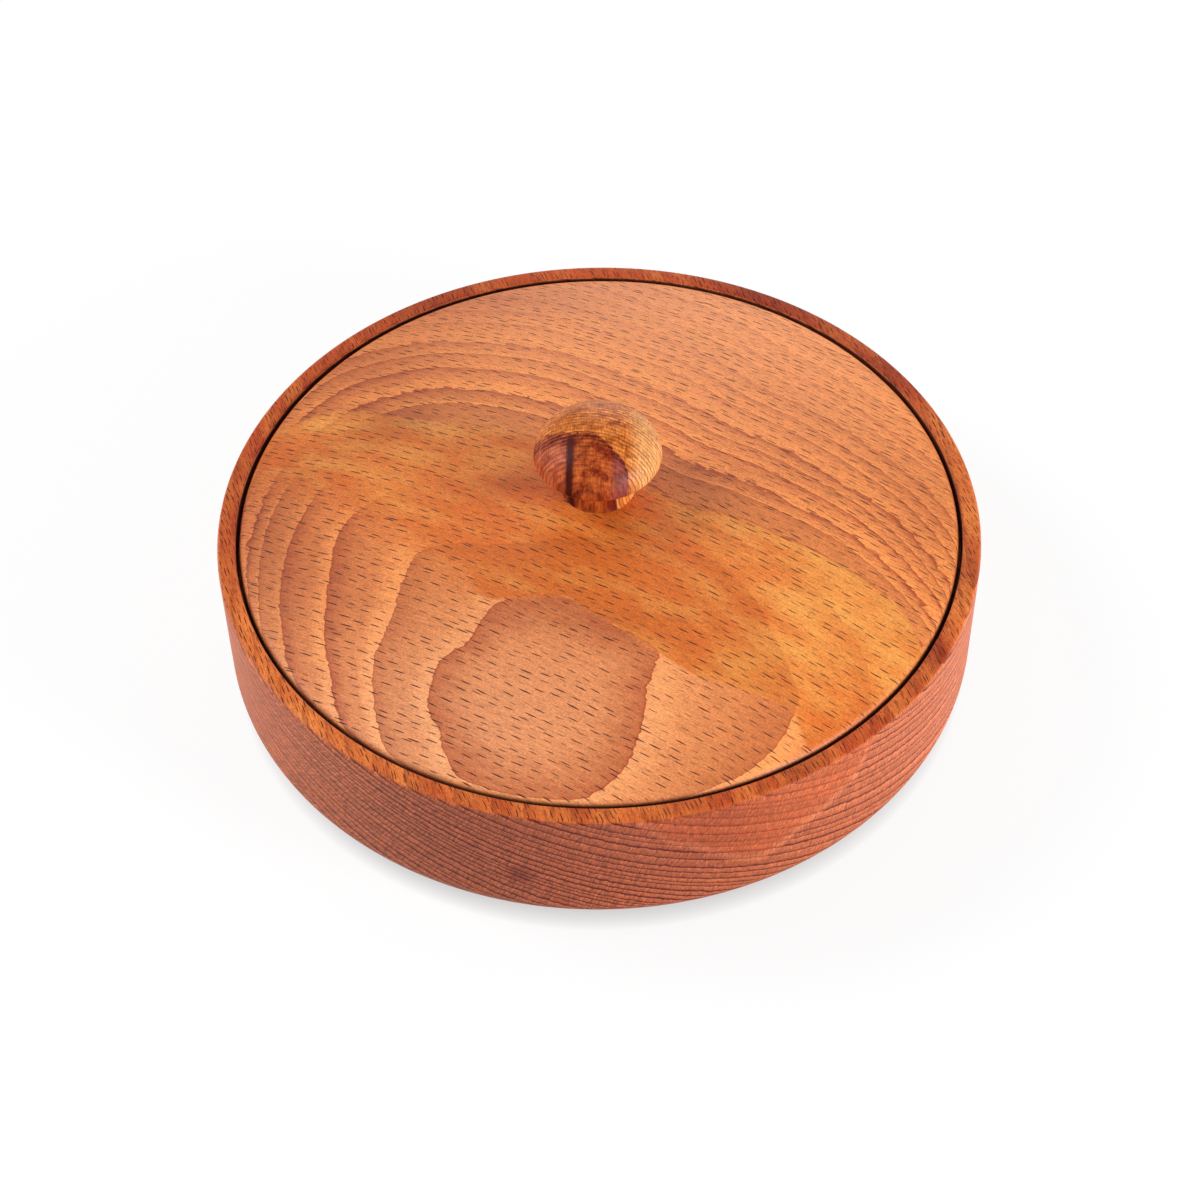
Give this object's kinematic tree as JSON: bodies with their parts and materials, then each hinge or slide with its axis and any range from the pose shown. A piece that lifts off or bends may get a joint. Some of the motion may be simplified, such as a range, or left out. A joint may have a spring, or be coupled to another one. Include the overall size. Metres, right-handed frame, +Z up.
{
  "type": "wooden box",
  "caption": "Round turned wooden box with a domed lid that sits inside the rim and lifts off by a mushroom knob.",
  "frame": {"origin": "middle of the foot, on the surface that the box stands on", "axes": "+Z up along the turning axis, +X to the right and -Y towards the viewer of the picture"},
  "size_m": [0.2, 0.2, 0.0802],
  "materials": {
    "bowl_beech": "oiled beech, satin",
    "lid_beech": "oiled beech, satin",
    "knob_beech": "oiled beech with dark heartwood, satin",
    "zinc_steel": "zinc plated"
  },
  "bodies": {
    "box": {"box_body": "bowl_beech"},
    "lid": {"lid": "lid_beech", "knob": "knob_beech", "knob_screw": "zinc_steel"}
  },
  "joints": [
    {"name": "lid_lift", "type": "slide", "parent": "box", "child": "lid", "axis": [0, 0, 1], "range_m": [0, 0.08]}
  ]
}
